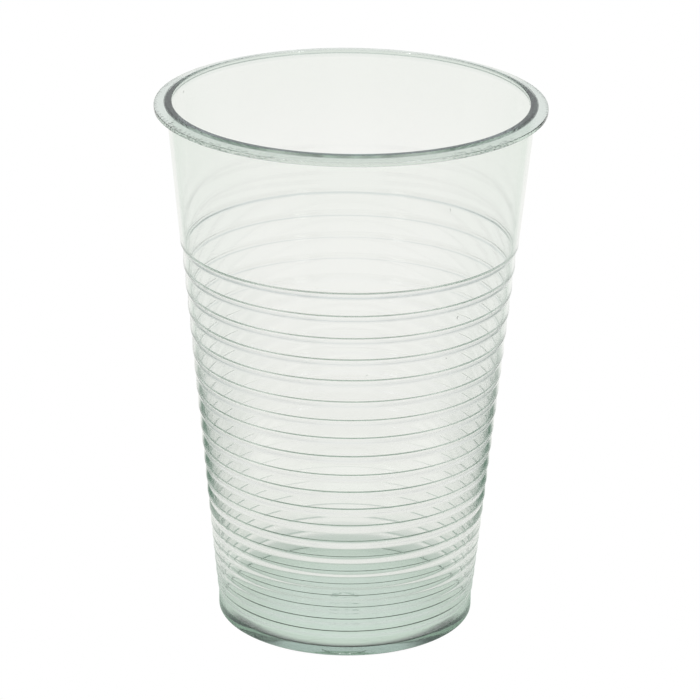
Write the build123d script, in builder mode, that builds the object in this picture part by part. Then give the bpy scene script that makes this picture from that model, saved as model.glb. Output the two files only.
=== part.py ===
from build123d import *
import math
import os

os.makedirs("parts", exist_ok=True)

# ---------------------------------------------------------------- dimensions
# A clear injection-moulded drinking cup, one piece.  All lengths in mm.
# Origin on the table under the centre of the cup, +Z up, axis on Z.

TOP_Z = 98.0            # flat top of the mouth
RIM_R = 35.0            # outside radius of the rim flange
RIM_FLAT_R = 32.80      # the flat top ends here and the flange starts to droop
RIM_EDGE_Z = 97.30      # top of the flange at its outer edge
RIM_THICK = 0.72        # thickness of the drooping flange
RIM_TOP_ROUND = 0.18    # rounding of the flange's upper outer corner
RIM_LOW_ROUND = 0.10    # rounding of the flange's lower outer corner
RIM_ROOT_ROUND = 0.20   # fillet between flange and wall
RIM_CREST_ROUND = 0.25  # rounding between flat top and flange
LIP_IN_ROUND = 0.22     # rounding of the inner edge of the mouth

BAND_TOP_R = 32.82      # outside radius of the plain band at BAND_TOP_Z
BAND_TOP_Z = 96.85

WALL_RIM = 1.13         # wall thickness at the mouth
WALL_BAND = 0.80        # wall thickness at the first step
WALL_LOW = 0.90         # wall thickness at the foot

# Steps of the ribbed wall, from the top one down.  step_z is the height of
# the ledge on the inside, step_r the outside radius of the ring just above it.
step_z = [72.12, 67.72, 63.48, 59.37, 55.37, 51.22, 47.59, 44.08, 40.44, 36.73,
          33.34, 29.91, 26.59, 23.40, 20.24, 17.30, 14.68, 12.28, 9.85, 7.35, 4.81]
step_r = [30.45, 29.91, 29.50, 29.11, 28.71, 28.33, 27.98, 27.65, 27.30, 26.92,
          26.61, 26.27, 25.95, 25.66, 25.33, 25.04, 24.78, 24.56, 24.32, 24.08, 23.80]
FOOT_R = 23.52          # outside radius of the last ring, down to the foot

OUT_DROP = 0.75         # the outside of a step lies this much below the inside ledge
OUT_TALL_TOP = 1.30     # height of the soft outside step, at the first ring
OUT_TALL_LOW = 1.70     # height of the soft outside step, at the foot
IN_LEAN = 75.0          # steepest lean of the sharper inside ledge, degrees from upright

FLOOR_Z = 1.40          # inside floor, so the thickness of the flat base
FLOOR_ROUND = 0.45      # fillet between inside floor and wall
FOOT_ROUND = 0.35       # rounding of the outer foot edge
GATE_R = 2.60           # shallow round gate mark at the centre of the underside
GATE_DEEP = 0.12
GATE_RUN = 0.05

# ---------------------------------------------------------------- helpers


def wall(z):
    """Wall thickness at a height: thick at the mouth, thinnest at the first step."""
    z1 = step_z[0]
    if z >= z1:
        return WALL_BAND + (WALL_RIM - WALL_BAND) * (z - z1) / (TOP_Z - z1)
    return WALL_LOW + (WALL_BAND - WALL_LOW) * z / z1


def s_curve(r0, r1, zc, lean):
    """A rounded step: two equal tangent arcs between an upright at r0 and one at r1.

    Returns five points, bottom first; the arcs meet at height zc and lean
    `lean` degrees there.
    """
    a = math.radians(lean)
    rad = (r1 - r0) / 2 / (1 - math.cos(a))
    half = rad * math.sin(a)
    b = a / 2
    p0, p4 = (r0, zc - half), (r1, zc + half)
    p1 = (r0 + rad * (1 - math.cos(b)), p0[1] + rad * math.sin(b))
    p3 = (r1 - rad * (1 - math.cos(b)), p4[1] - rad * math.sin(b))
    return p0, p1, ((r0 + r1) / 2, zc), p3, p4


def step_points(outside):
    """The rounded steps of one face of the wall, from the bottom one up."""
    out = []
    below = FOOT_R
    for z, r in list(zip(step_z, step_r))[::-1]:
        if outside:
            tall = OUT_TALL_LOW + (OUT_TALL_TOP - OUT_TALL_LOW) * z / step_z[0]
            lean = 2 * math.degrees(math.atan((r - below) / tall))
            out.append(s_curve(below, r, z - OUT_DROP, lean))
        else:
            out.append(s_curve(below - wall(z), r - wall(z), z, IN_LEAN))
        below = r
    return out


def corner(before, at, after, rad):
    """Start, middle and end of the arc that rounds the corner `at`."""
    u = (before[0] - at[0], before[1] - at[1])
    v = (after[0] - at[0], after[1] - at[1])
    lu, lv = math.hypot(*u), math.hypot(*v)
    u, v = (u[0] / lu, u[1] / lu), (v[0] / lv, v[1] / lv)
    half = math.acos(u[0] * v[0] + u[1] * v[1]) / 2
    run = rad / math.tan(half)
    w = (u[0] + v[0], u[1] + v[1])
    lw = math.hypot(*w)
    reach = rad / math.sin(half) - rad
    mid = (at[0] + w[0] / lw * reach, at[1] + w[1] / lw * reach)
    return (at[0] + u[0] * run, at[1] + u[1] * run), mid, (at[0] + v[0] * run, at[1] + v[1] * run)


def rounded(start, corners, end):
    """Lines and corner arcs from start to end through corners (r, z, radius)."""
    path = [start] + [c[:2] for c in corners] + [end]
    at = start
    for i, (r, z, rad) in enumerate(corners):
        if rad > 0:
            a, m, b = corner(path[i], (r, z), path[i + 2], rad)
            Line(at, a)
            ThreePointArc(a, m, b)
            at = b
        else:
            Line(at, (r, z))
            at = (r, z)
    Line(at, end)


# ---------------------------------------------------------------- the cup

outside = step_points(True)
inside = step_points(False)

# flange: the plain band runs up into the underside of the drooping flange
band_slope = (BAND_TOP_R - step_r[0]) / (BAND_TOP_Z - outside[-1][4][1])
droop = (TOP_Z - RIM_EDGE_Z) / (RIM_R - RIM_FLAT_R)
under_z = RIM_EDGE_Z - RIM_THICK
root_z = (under_z + droop * (RIM_R - BAND_TOP_R + band_slope * BAND_TOP_Z)) / (1 + droop * band_slope)
root_r = BAND_TOP_R + band_slope * (root_z - BAND_TOP_Z)
mouth_r = BAND_TOP_R + band_slope * (TOP_Z - BAND_TOP_Z) - WALL_RIM
floor_r = FOOT_R - wall(0)

with BuildPart() as cup:
    with BuildSketch(Plane.XZ) as section:
        with BuildLine() as outline:
            # underside: gate mark, flat base, then up to the first step
            rounded((0, GATE_DEEP),
                    [(GATE_R - GATE_RUN, GATE_DEEP, 0),
                     (GATE_R, 0, 0),
                     (FOOT_R, 0, FOOT_ROUND)],
                    outside[0][0])
            # ribbed outside
            for k, (p0, p1, p2, p3, p4) in enumerate(outside):
                ThreePointArc(p0, p1, p2)
                ThreePointArc(p2, p3, p4)
                if k + 1 < len(outside):
                    Line(p4, outside[k + 1][0])
            # plain band, flange, flat top, mouth, plain band inside
            rounded(outside[-1][4],
                    [(root_r, root_z, RIM_ROOT_ROUND),
                     (RIM_R, under_z, RIM_LOW_ROUND),
                     (RIM_R, RIM_EDGE_Z, RIM_TOP_ROUND),
                     (RIM_FLAT_R, TOP_Z, RIM_CREST_ROUND),
                     (mouth_r, TOP_Z, LIP_IN_ROUND)],
                    inside[-1][4])
            # ribbed inside, from the top down
            for k in range(len(inside) - 1, -1, -1):
                p0, p1, p2, p3, p4 = inside[k]
                ThreePointArc(p4, p3, p2)
                ThreePointArc(p2, p1, p0)
                if k > 0:
                    Line(p0, inside[k - 1][4])
            # floor
            rounded(inside[0][0], [(floor_r, FLOOR_Z, FLOOR_ROUND)], (0, FLOOR_Z))
            Line((0, FLOOR_Z), (0, GATE_DEEP))
        make_face()
    revolve(axis=Axis.Z, revolution_arc=360)

cup.part.label = "cup"
export_step(cup.part, "parts/cup.step")

print("volume mm3", cup.part.volume)
print("box", cup.part.bounding_box())
print("mouth inner radius", mouth_r, "flange root", root_r, root_z)
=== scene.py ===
import math

import bpy
import numpy as np
from mathutils import Matrix, Vector


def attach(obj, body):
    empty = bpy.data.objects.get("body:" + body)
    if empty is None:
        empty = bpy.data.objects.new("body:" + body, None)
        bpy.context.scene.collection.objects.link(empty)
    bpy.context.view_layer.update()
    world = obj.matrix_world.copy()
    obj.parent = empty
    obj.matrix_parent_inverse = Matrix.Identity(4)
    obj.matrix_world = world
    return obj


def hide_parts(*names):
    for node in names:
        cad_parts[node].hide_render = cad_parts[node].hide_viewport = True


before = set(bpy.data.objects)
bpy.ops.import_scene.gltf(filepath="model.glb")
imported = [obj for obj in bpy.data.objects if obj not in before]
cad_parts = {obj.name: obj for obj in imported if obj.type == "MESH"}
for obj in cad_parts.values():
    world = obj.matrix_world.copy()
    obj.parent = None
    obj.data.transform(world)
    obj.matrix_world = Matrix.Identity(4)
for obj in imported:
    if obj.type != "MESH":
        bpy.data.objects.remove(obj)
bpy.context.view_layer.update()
MM = 0.001

# ------------------------------------------------------------------ dimensions
# The same numbers as the solid, in millimetres.
TOP_Z, RIM_R, RIM_FLAT_R, RIM_EDGE_Z, RIM_THICK = 98.0, 35.0, 32.80, 97.30, 0.72
RIM_TOP_ROUND, RIM_LOW_ROUND, RIM_ROOT_ROUND, RIM_CREST_ROUND, LIP_IN_ROUND = 0.18, 0.10, 0.20, 0.25, 0.22
BAND_TOP_R, BAND_TOP_Z = 32.82, 96.85
WALL_RIM, WALL_BAND, WALL_LOW = 1.13, 0.80, 0.90
STEP_Z = [72.12, 67.72, 63.48, 59.37, 55.37, 51.22, 47.59, 44.08, 40.44, 36.73,
          33.34, 29.91, 26.59, 23.40, 20.24, 17.30, 14.68, 12.28, 9.85, 7.35, 4.81]
STEP_R = [30.45, 29.91, 29.50, 29.11, 28.71, 28.33, 27.98, 27.65, 27.30, 26.92,
          26.61, 26.27, 25.95, 25.66, 25.33, 25.04, 24.78, 24.56, 24.32, 24.08, 23.80]
FOOT_R = 23.52
OUT_DROP, OUT_TALL_TOP, OUT_TALL_LOW, IN_LEAN = 0.75, 1.30, 1.70, 75.0
FLOOR_Z, FLOOR_ROUND, FOOT_ROUND = 1.40, 0.45, 0.35
GATE_R, GATE_DEEP, GATE_RUN = 2.60, 0.12, 0.05

AROUND = 256          # divisions round the cup
ARC = 4               # divisions of one small rounding
SOFT_ARC = 3          # divisions of one rounding of the soft outside steps
NEAR = 0.03           # a guard loop this far from a change of slope keeps the flats flat


# ------------------------------------------------------------------ section
def wall(z):
    """Wall thickness at a height: thick at the mouth, thinnest at the first step."""
    if z >= STEP_Z[0]:
        return WALL_BAND + (WALL_RIM - WALL_BAND) * (z - STEP_Z[0]) / (TOP_Z - STEP_Z[0])
    return WALL_LOW + (WALL_BAND - WALL_LOW) * z / STEP_Z[0]


def s_curve(r0, r1, zc, lean, arc):
    """A rounded step from an upright at r0 below zc to an upright at r1 above it.

    Each point of the section is (r, z, direction in r, direction in z).
    """
    a = math.radians(lean)
    rad = (r1 - r0) / 2 / (1 - math.cos(a))
    half = rad * math.sin(a)
    t = [a * k / arc for k in range(arc + 1)]
    low = [(r0 + rad - rad * math.cos(b), zc - half + rad * math.sin(b), math.sin(b), math.cos(b)) for b in t]
    high = [(r1 - rad + rad * math.cos(b), zc + half - rad * math.sin(b), math.sin(b), math.cos(b))
            for b in t[::-1]]
    return low + high[1:]


def steps(outside):
    """The rounded steps of one face of the wall, bottom one first."""
    found, below = [], FOOT_R
    for z, r in list(zip(STEP_Z, STEP_R))[::-1]:
        if outside:
            tall = OUT_TALL_LOW + (OUT_TALL_TOP - OUT_TALL_LOW) * z / STEP_Z[0]
            lean = 2 * math.degrees(math.atan((r - below) / tall))
            found.append(s_curve(below, r, z - OUT_DROP, lean, SOFT_ARC))
        else:
            found.append(s_curve(below - wall(z), r - wall(z), z, IN_LEAN, ARC))
        below = r
    return found


def corner(before, at, after, rad):
    """Points of the arc that rounds the corner `at` between two straight runs."""
    b, p, a = (np.array(q, float) for q in (before, at, after))
    u, v = (b - p) / np.linalg.norm(b - p), (a - p) / np.linalg.norm(a - p)
    half = math.acos(float(u @ v)) / 2
    c = p + (u + v) / np.linalg.norm(u + v) * rad / math.sin(half)
    s, e = p + u * rad / math.tan(half) - c, p + v * rad / math.tan(half) - c
    a0 = math.atan2(s[1], s[0])
    turn = (math.atan2(e[1], e[0]) - a0 + math.pi) % (2 * math.pi) - math.pi
    way = math.copysign(1.0, turn)
    t = [a0 + turn * k / ARC for k in range(ARC + 1)]
    return [(c[0] + rad * math.cos(b), c[1] + rad * math.sin(b), -way * math.sin(b), way * math.cos(b)) for b in t]


def rounded(start, corners, end):
    """Straight runs and rounded corners (r, z, radius) from start to end."""
    path = [start[:2]] + [c[:2] for c in corners] + [end[:2]]
    pts = [start]
    for i, (r, z, rad) in enumerate(corners):
        pts += corner(path[i], (r, z), path[i + 2], rad)
    return pts + [end]


def with_guards(points, long=0.4):
    """Adds a point close to each end of a long straight run that starts or ends at an angle."""
    found = [points[0]]
    for (r0, z0, u0, v0), (r1, z1, u1, v1) in zip(points, points[1:]):
        d = math.hypot(r1 - r0, z1 - z0)
        u, v = (r1 - r0) / d, (z1 - z0) / d
        if d > long and u0 * u + v0 * v < 0.99999:
            found.append((r0 + NEAR * u, z0 + NEAR * v, u, v))
        if d > long and u1 * u + v1 * v < 0.99999:
            found.append((r1 - NEAR * u, z1 - NEAR * v, u, v))
        found.append((r1, z1, u1, v1))
    return found


def section():
    """The whole closed section, from the axis under the base to the axis on the inside floor."""
    out, ins = steps(True), steps(False)
    slope = (BAND_TOP_R - STEP_R[0]) / (BAND_TOP_Z - out[-1][-1][1])
    droop = (TOP_Z - RIM_EDGE_Z) / (RIM_R - RIM_FLAT_R)
    under_z = RIM_EDGE_Z - RIM_THICK
    root_z = (under_z + droop * (RIM_R - BAND_TOP_R + slope * BAND_TOP_Z)) / (1 + droop * slope)
    root_r = BAND_TOP_R + slope * (root_z - BAND_TOP_Z)
    mouth_r = BAND_TOP_R + slope * (TOP_Z - BAND_TOP_Z) - WALL_RIM
    p = rounded((0, GATE_DEEP, 1, 0),
                [(GATE_R - GATE_RUN, GATE_DEEP, 0.02), (GATE_R, 0, 0.02), (FOOT_R, 0, FOOT_ROUND)], out[0][0])[:-1]
    for s in out:
        p += s
    p += rounded(out[-1][-1],
                 [(root_r, root_z, RIM_ROOT_ROUND), (RIM_R, under_z, RIM_LOW_ROUND),
                  (RIM_R, RIM_EDGE_Z, RIM_TOP_ROUND), (RIM_FLAT_R, TOP_Z, RIM_CREST_ROUND),
                  (mouth_r, TOP_Z, LIP_IN_ROUND)], ins[-1][-1])[1:-1]
    for s in ins[::-1]:
        p += [(r, z, -u, -v) for r, z, u, v in s[::-1]]
    p += rounded(ins[0][0], [(FOOT_R - wall(0), FLOOR_Z, FLOOR_ROUND)], (0, FLOOR_Z, -1, 0))[1:]
    return with_guards(p)


def nicks(ring, angles):
    """Small uneven spots of the parting line, inward only, on the outer edge of the flange."""
    rng = np.random.default_rng(11)
    deep = np.zeros((len(ring), len(angles)))
    deg = (np.degrees(angles) + 180) % 360 - 180       # 0 towards the front
    # the seam shows on the front-left and front-right of the edge, and faintly elsewhere
    worn = 0.15 + np.exp(-((deg + 48) / 26) ** 2) + 0.8 * np.exp(-((deg - 38) / 14) ** 2)
    spots = np.clip(rng.random(len(angles)) - 0.45, 0, 1) * worn
    for i, (r, z) in enumerate(ring[:, :2]):
        if r > RIM_R - 0.14 and RIM_EDGE_Z - RIM_THICK - 0.05 < z < RIM_EDGE_Z:
            deep[i] = 0.14 * spots * (0.4 + 0.6 * rng.random(len(angles)))
    return deep


def revolve(name, pts):
    """Closed mesh of revolution from a section that starts and ends on the axis."""
    pts = np.array(pts)
    ring = pts[1:-1]
    n, m = len(ring), AROUND
    a = np.linspace(0, 2 * math.pi, m, endpoint=False)
    r = ring[:, :1] - nicks(ring, a)
    xyz = np.empty((n, m, 3))
    xyz[..., 0] = r * np.sin(a)
    xyz[..., 1] = -r * np.cos(a)
    xyz[..., 2] = ring[:, 1:2]
    # the exact direction of the surface at each point of the section
    face = np.empty((n, m, 3))
    face[..., 0] = ring[:, 3:] * np.sin(a)
    face[..., 1] = -ring[:, 3:] * np.cos(a)
    face[..., 2] = -ring[:, 2:3]
    face = np.concatenate([face.reshape(-1, 3), [[0, 0, -1], [0, 0, 1]]])
    verts = np.concatenate([xyz.reshape(-1, 3), [[0, 0, pts[0, 1]], [0, 0, pts[-1, 1]]]]) * MM
    faces = []
    for i in range(n - 1):
        for j in range(m):
            k = (j + 1) % m
            faces.append((i * m + j, i * m + k, (i + 1) * m + k, (i + 1) * m + j))
    for j in range(m):
        k = (j + 1) % m
        faces.append((n * m, k, j))
        faces.append((n * m + 1, (n - 1) * m + j, (n - 1) * m + k))
    mesh = bpy.data.meshes.new(name)
    mesh.from_pydata(verts.tolist(), [], faces)
    mesh.update()
    mesh.shade_smooth()
    mesh.normals_split_custom_set_from_vertices(face.tolist())
    obj = bpy.data.objects.new(name, mesh)
    bpy.context.scene.collection.objects.link(obj)
    print("triangles", 2 * m * n)
    return obj


cup = revolve("cup_body", section())


# ------------------------------------------------------------------ node helpers
class Nodes:
    """Short ways to add nodes to one tree."""

    def __init__(self, tree):
        self.t = tree
        tree.nodes.clear()

    def add(self, kind, inputs=(), **settings):
        node = self.t.nodes.new(kind)
        for key, value in settings.items():
            setattr(node, key, value)
        for key, value in dict(inputs).items():
            if isinstance(value, bpy.types.NodeSocket):
                self.t.links.new(value, node.inputs[key])
            else:
                node.inputs[key].default_value = value
        return node

    def math(self, operation, a, b=0.0, clamp=False):
        return self.add("ShaderNodeMath", {0: a, 1: b}, operation=operation, use_clamp=clamp).outputs[0]

    def smooth(self, value, lo, hi, to_lo=0.0, to_hi=1.0):
        """Soft step from to_lo at lo to to_hi at hi."""
        return self.add("ShaderNodeMapRange", {"Value": value, "From Min": lo, "From Max": hi,
                                               "To Min": to_lo, "To Max": to_hi},
                        interpolation_type="SMOOTHSTEP").outputs["Result"]

    def noise(self, where, scale, detail=2.0, rough=0.5):
        return self.add("ShaderNodeTexNoise", {"Vector": where, "Scale": scale, "Detail": detail,
                                               "Roughness": rough}).outputs["Fac"]

    def ramp(self, fac, stops):
        node = self.add("ShaderNodeValToRGB", {"Fac": fac})
        e = node.color_ramp.elements
        while len(e) < len(stops):
            e.new(0.5)
        for at, (pos, col) in zip(e, stops):
            at.position = pos
            at.color = (*col, 1.0)
        return node.outputs["Color"]

    def times(self, colour, fac):
        """A colour scaled by a value."""
        return self.add("ShaderNodeVectorMath", {0: colour, "Scale": fac}, operation="SCALE").outputs["Vector"]

    def white_to_camera(self, colour):
        """The photograph is cut out on white: seen straight, the surround is pure white."""
        ray = self.add("ShaderNodeLightPath").outputs["Is Camera Ray"]
        mix = self.add("ShaderNodeMix", {"Factor": ray}, data_type="RGBA")
        self.t.links.new(colour, mix.inputs[6])
        mix.inputs[7].default_value = (1, 1, 1, 1)
        return mix.outputs[2]


# ------------------------------------------------------------------ material
mat = bpy.data.materials.new("clear_plastic")
mat.use_nodes = True
k = Nodes(mat.node_tree)
spot = k.add("ShaderNodeTexCoord").outputs["Object"]
xyz = k.add("ShaderNodeSeparateXYZ", {0: spot})
x, y, z = xyz.outputs
radius = k.math("SQRT", k.math("ADD", k.math("MULTIPLY", x, x), k.math("MULTIPLY", y, y)))

# slow waviness of a thin moulded wall, drawn out along the flow from base to rim
stretch = k.add("ShaderNodeVectorMath", {0: spot, 1: (1.0, 1.0, 0.35)}, operation="MULTIPLY").outputs["Vector"]
wave = k.math("MULTIPLY", k.noise(stretch, 105.0, 1.0), 2.2)
# fine scuffs and flow marks
scuff = k.noise(spot, 900.0, 3.0, 0.6)
# sparse specks: tiny pits, each about half a millimetre
cells = k.add("ShaderNodeTexVoronoi", {"Vector": spot, "Scale": 260.0, "Randomness": 1.0})
pit = k.smooth(cells.outputs["Distance"], 0.045, 0.085, 1.0, 0.0)
chosen = k.math("GREATER_THAN", k.add("ShaderNodeSeparateColor", {0: cells.outputs["Color"]}).outputs[0], 0.88)
speck = k.math("MULTIPLY", pit, chosen)
# chatter of the parting line along the outer edge of the flange, worst at the front left and right
turn = k.math("ARCTAN2", x, k.math("MULTIPLY", y, -1.0))
left = k.math("MULTIPLY", k.smooth(turn, -1.50, -1.05), k.smooth(turn, -0.45, -0.20, 1.0, 0.0))
right = k.math("MULTIPLY", k.smooth(turn, 0.40, 0.60), k.smooth(turn, 0.85, 1.00, 1.0, 0.0))
worn = k.math("ADD", k.math("ADD", left, right), 0.12)
edge = k.math("MULTIPLY", k.smooth(radius, 0.0341, 0.0347), k.smooth(z, 0.0963, 0.0966))
chatter = k.math("MULTIPLY", edge, k.smooth(k.noise(spot, 1500.0, 2.0), 0.48, 0.62))
chatter = k.math("MULTIPLY", chatter, worn)

height = k.math("ADD", wave, k.math("MULTIPLY", scuff, 0.004))
height = k.math("SUBTRACT", height, k.math("MULTIPLY", speck, 2.4))
height = k.math("SUBTRACT", height, k.math("MULTIPLY", chatter, 3.0))
bump = k.add("ShaderNodeBump", {"Height": height, "Strength": 1.0, "Distance": 0.00002})

# polished, with a few faintly scuffed patches
rough = k.smooth(k.noise(spot, 60.0, 4.0), 0.50, 0.78, 0.0, 0.012)
# clear all over, its tone faintly uneven; the band under the rim, the flange and the inner lip are tinted a little
# darker and greener, and the top of the drinking edge has a painted dark reflection
flange = k.math("MULTIPLY", k.smooth(radius, 0.0324, 0.0330), k.smooth(z, 0.0962, 0.0966))
mouth = k.math("MULTIPLY", k.smooth(z, 0.09788, 0.09796), k.smooth(radius, 0.0328, 0.0330, 1.0, 0.0))
cloud = k.smooth(k.noise(spot, 45.0, 2.0), 0.3, 0.7, 0.0, 1.0)


def blend(base, tint, fac):
    """Mixes two colours by a mask."""
    node = k.add("ShaderNodeMix", {"Factor": fac}, data_type="RGBA")
    for at, value in ((6, base), (7, tint)):
        if isinstance(value, bpy.types.NodeSocket):
            k.t.links.new(value, node.inputs[at])
        else:
            node.inputs[at].default_value = (*value, 1.0)
    return node.outputs[2]


high = k.math("MULTIPLY", k.smooth(z, 0.078, 0.093), k.smooth(z, 0.0962, 0.0966, 1.0, 0.0))
lip = k.math("MULTIPLY", k.smooth(z, 0.0971, 0.0973), k.smooth(radius, 0.0320, 0.0324, 1.0, 0.0))
# painted dark reflection on the top of the drinking edge, on the side towards the camera: darkest to the front left
# and front right, lighter straight in front, nearly clear at the back
front = k.smooth(k.math("ABSOLUTE", turn), 1.10, 1.52, 1.0, 0.0)
middle = k.smooth(k.math("ABSOLUTE", turn), 0.10, 0.40, 1.0, 0.0)
painted_rim_reflection = blend((0.97, 0.97, 0.98), blend((0.12, 0.11, 0.16), (0.19, 0.23, 0.30), middle), front)
tint = blend((0.990, 0.990, 0.987), (0.983, 0.984, 0.980), cloud)
tint = blend(tint, (0.958, 0.968, 0.955), high)
tint = blend(tint, (0.79, 0.84, 0.81), flange)
tint = blend(tint, (0.79, 0.835, 0.80), lip)
tint = blend(tint, painted_rim_reflection, mouth)
# the gate mark under the base, a broken dark ring
gate = k.math("MULTIPLY", k.smooth(radius, 0.0012, 0.0019), k.smooth(radius, 0.0027, 0.0031, 1.0, 0.0))
gate = k.math("MULTIPLY", gate, k.smooth(z, 0.0002, 0.0004, 1.0, 0.0))
gate = k.math("MULTIPLY", gate, k.smooth(k.noise(spot, 700.0, 2.0), 0.42, 0.58))
tint = blend(tint, (0.22, 0.33, 0.27), gate)

bsdf = k.add("ShaderNodeBsdfPrincipled", {"Base Color": tint, "Roughness": rough, "IOR": 1.57,
                                          "Transmission Weight": 1.0, "Normal": bump.outputs["Normal"]})
vol = k.add("ShaderNodeVolumeAbsorption", {"Color": (0.50, 0.64, 0.56, 1), "Density": 30.0})
k.add("ShaderNodeOutputMaterial", {"Surface": bsdf.outputs["BSDF"], "Volume": vol.outputs["Volume"]})
cup.data.materials.append(mat)

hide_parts("cup")
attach(cup, "root")

# ------------------------------------------------------------------ floor
# A white sweep.  Through the plastic it shows the soft shade of the cup's foot.
S = 6.0
floor_mesh = bpy.data.meshes.new("floor")
floor_mesh.from_pydata([(-S, -S, 0), (S, -S, 0), (S, S, 0), (-S, S, 0)], [], [(0, 1, 2, 3)])
floor = bpy.data.objects.new("floor", floor_mesh)
floor.location.z = -0.0002
bpy.context.scene.collection.objects.link(floor)
fm = bpy.data.materials.new("white_sweep")
fm.use_nodes = True
k = Nodes(fm.node_tree)
REACH = 0.3
SHADE = [(0, (0.588, 0.712, 0.626)), (12, (0.573, 0.700, 0.610)), (17, (0.530, 0.655, 0.553)),
         (19.5, (0.509, 0.626, 0.526)), (21.5, (0.485, 0.608, 0.507)), (23, (0.461, 0.575, 0.486)),
         (26, (0.505, 0.588, 0.527)), (30, (0.582, 0.648, 0.596)), (34, (0.678, 0.725, 0.682)),
         (37, (0.776, 0.806, 0.763)), (44, (0.892, 0.909, 0.866)), (55, (0.903, 0.913, 0.874)),
         (100, (0.902, 0.908, 0.877)), (200, (0.911, 0.915, 0.892))]
at = k.add("ShaderNodeNewGeometry").outputs["Position"]
away = k.add("ShaderNodeVectorMath", {0: at}, operation="LENGTH").outputs["Value"]
shade = k.ramp(k.math("DIVIDE", away, REACH), [(r * MM / REACH, c) for r, c in SHADE])
sep = k.add("ShaderNodeSeparateXYZ", {0: at})
side = k.math("ARCTAN2", k.math("ABSOLUTE", sep.outputs["X"]), sep.outputs["Y"])
# the side towards the camera lies in the cup's own shade
near = k.math("MULTIPLY", k.smooth(side, math.radians(95), math.radians(125)),
              k.math("MULTIPLY", k.smooth(away, 0.0185, 0.0215), k.smooth(away, 0.025, 0.028, 1.0, 0.0)))
far = k.math("MULTIPLY", k.smooth(side, math.radians(85), math.radians(140)),
             k.math("MULTIPLY", k.smooth(away, 0.026, 0.030), k.smooth(away, 0.080, 0.120, 1.0, 0.0)))
shade = k.times(shade, k.smooth(near, 0.0, 1.0, 1.0, 0.08))
shade = k.times(shade, k.smooth(far, 0.0, 1.0, 1.0, 0.40))
# and on both sides the floor is dim in front of the grey cards
dim = k.math("MULTIPLY", k.smooth(side, math.radians(26), math.radians(42)),
             k.smooth(side, math.radians(95), math.radians(125), 1.0, 0.0))
for lo, hi, colour in ((k.smooth(away, 0.050, 0.064), k.smooth(away, 0.105, 0.175, 1.0, 0.0), (0.16, 0.25, 0.20)),
                       (k.smooth(away, 0.105, 0.175), k.smooth(away, 0.350, 0.600, 1.0, 0.0), (0.84, 0.90, 0.86))):
    part = blend((1.0, 1.0, 1.0), colour, k.math("MULTIPLY", dim, k.math("MULTIPLY", lo, hi)))
    shade = k.add("ShaderNodeVectorMath", {0: shade, 1: part}, operation="MULTIPLY").outputs["Vector"]
# light comes through the front of the cup to the floor under it
lit = k.math("MULTIPLY", k.smooth(sep.outputs["Y"], -0.018, 0.004, 1.0, 0.0), k.smooth(away, 0.0225, 0.0240, 1.0, 0.0))
shade = k.times(shade, k.smooth(lit, 0.0, 1.0, 1.02, 1.13))
glow = k.add("ShaderNodeEmission", {"Color": k.white_to_camera(shade), "Strength": 1.0})
k.add("ShaderNodeOutputMaterial", {"Surface": glow.outputs[0]})
floor_mesh.materials.append(fm)

# ------------------------------------------------------------------ light
# An even pale surround, a grey card on each side and two softboxes.
world = bpy.data.worlds.new("studio")
bpy.context.scene.world = world
world.use_nodes = True
k = Nodes(world.node_tree)
SKY = [(0, (0.76, 0.79, 0.775)), (20, (0.80, 0.83, 0.84)), (35, (0.80, 0.83, 0.85)), (60, (0.70, 0.70, 0.70))]
sep = k.add("ShaderNodeSeparateXYZ", {0: k.add("ShaderNodeTexCoord").outputs["Generated"]})
x, y, z = sep.outputs
sky = k.ramp(z, [(math.sin(math.radians(e)), c) for e, c in SKY])
side = k.math("ARCTAN2", k.math("ABSOLUTE", x), y)
card = k.math("MULTIPLY", k.smooth(side, math.radians(20), math.radians(36)),
              k.smooth(side, math.radians(150), math.radians(165), 1.0, 0.0))
card = k.math("MULTIPLY", card, k.smooth(z, math.sin(math.radians(-3)), math.sin(math.radians(1))))
card = k.math("MULTIPLY", card, k.smooth(z, math.sin(math.radians(55)), math.sin(math.radians(65)), 1.0, 0.0))
card = k.math("MULTIPLY", card, k.smooth(z, math.sin(math.radians(6)), math.sin(math.radians(16)), 0.85, 0.74))
sky = k.times(sky, k.math("SUBTRACT", 1.0, card))
bg = k.add("ShaderNodeBackground", {"Color": k.white_to_camera(sky), "Strength": 1.0})
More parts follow.
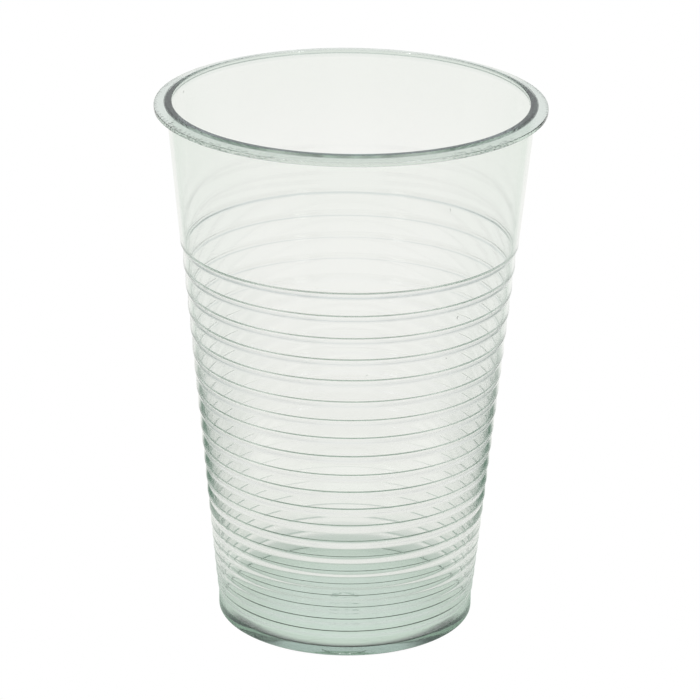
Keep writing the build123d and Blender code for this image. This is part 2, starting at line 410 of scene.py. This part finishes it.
k.add("ShaderNodeOutputWorld", {"Surface": bg.outputs[0]})

BOX_W, BOX_H = 0.16, 0.40
for name, az in (("softbox_left", -40), ("softbox_right", 40)):
    light = bpy.data.lights.new(name, "AREA")
    light.shape, light.size, light.size_y = "RECTANGLE", BOX_W, BOX_H
    light.energy = 9.0 * math.pi * BOX_W * BOX_H
    obj = bpy.data.objects.new(name, light)
    a, e = math.radians(az), math.radians(38)
    way = Vector((math.sin(a) * math.cos(e), -math.cos(a) * math.cos(e), math.sin(e)))
    obj.location = way + Vector((0, 0, 0.05))
    obj.rotation_euler = way.to_track_quat("Z", "Y").to_euler()
    obj.visible_camera = False
    bpy.context.scene.collection.objects.link(obj)

scene = bpy.context.scene
scene.view_settings.view_transform = "Standard"
scene.view_settings.look = "None"
cy = scene.cycles
cy.max_bounces = 48
cy.transmission_bounces = 48
cy.glossy_bounces = 48
cy.diffuse_bounces = 4
cy.volume_bounces = 0
cy.transparent_max_bounces = 16
cy.caustics_reflective = True
cy.caustics_refractive = True
cy.sample_clamp_indirect = 2.0
cy.use_denoising = True

# ------------------------------------------------------------------ camera
# the photograph's view: distance and target in mm, angles in radians
F_PX, DIST, ELEV, ROLL, TX, TZ = 3468.3, 631.9, math.radians(20.956), 0.01277, 0.447, 50.254
fwd = Vector((0, math.cos(ELEV), -math.sin(ELEV)))
rt, up = Vector((1, 0, 0)), Vector((0, math.sin(ELEV), math.cos(ELEV)))
r2 = math.cos(ROLL) * rt + math.sin(ROLL) * up
u2 = -math.sin(ROLL) * rt + math.cos(ROLL) * up
eye = (Vector((TX, 0, TZ)) - fwd * DIST - r2 * 0.09 + u2 * 0.09) * MM
cam_data = bpy.data.cameras.new("camera")
cam_data.sensor_width = 36.0
cam_data.lens = F_PX / 700 * 36.0
cam_data.clip_start, cam_data.clip_end = 0.01, 50
cam = bpy.data.objects.new("camera", cam_data)
m = Matrix((r2, u2, -fwd)).transposed().to_4x4()
m.translation = eye
cam.matrix_world = m
scene.collection.objects.link(cam)
scene.camera = cam
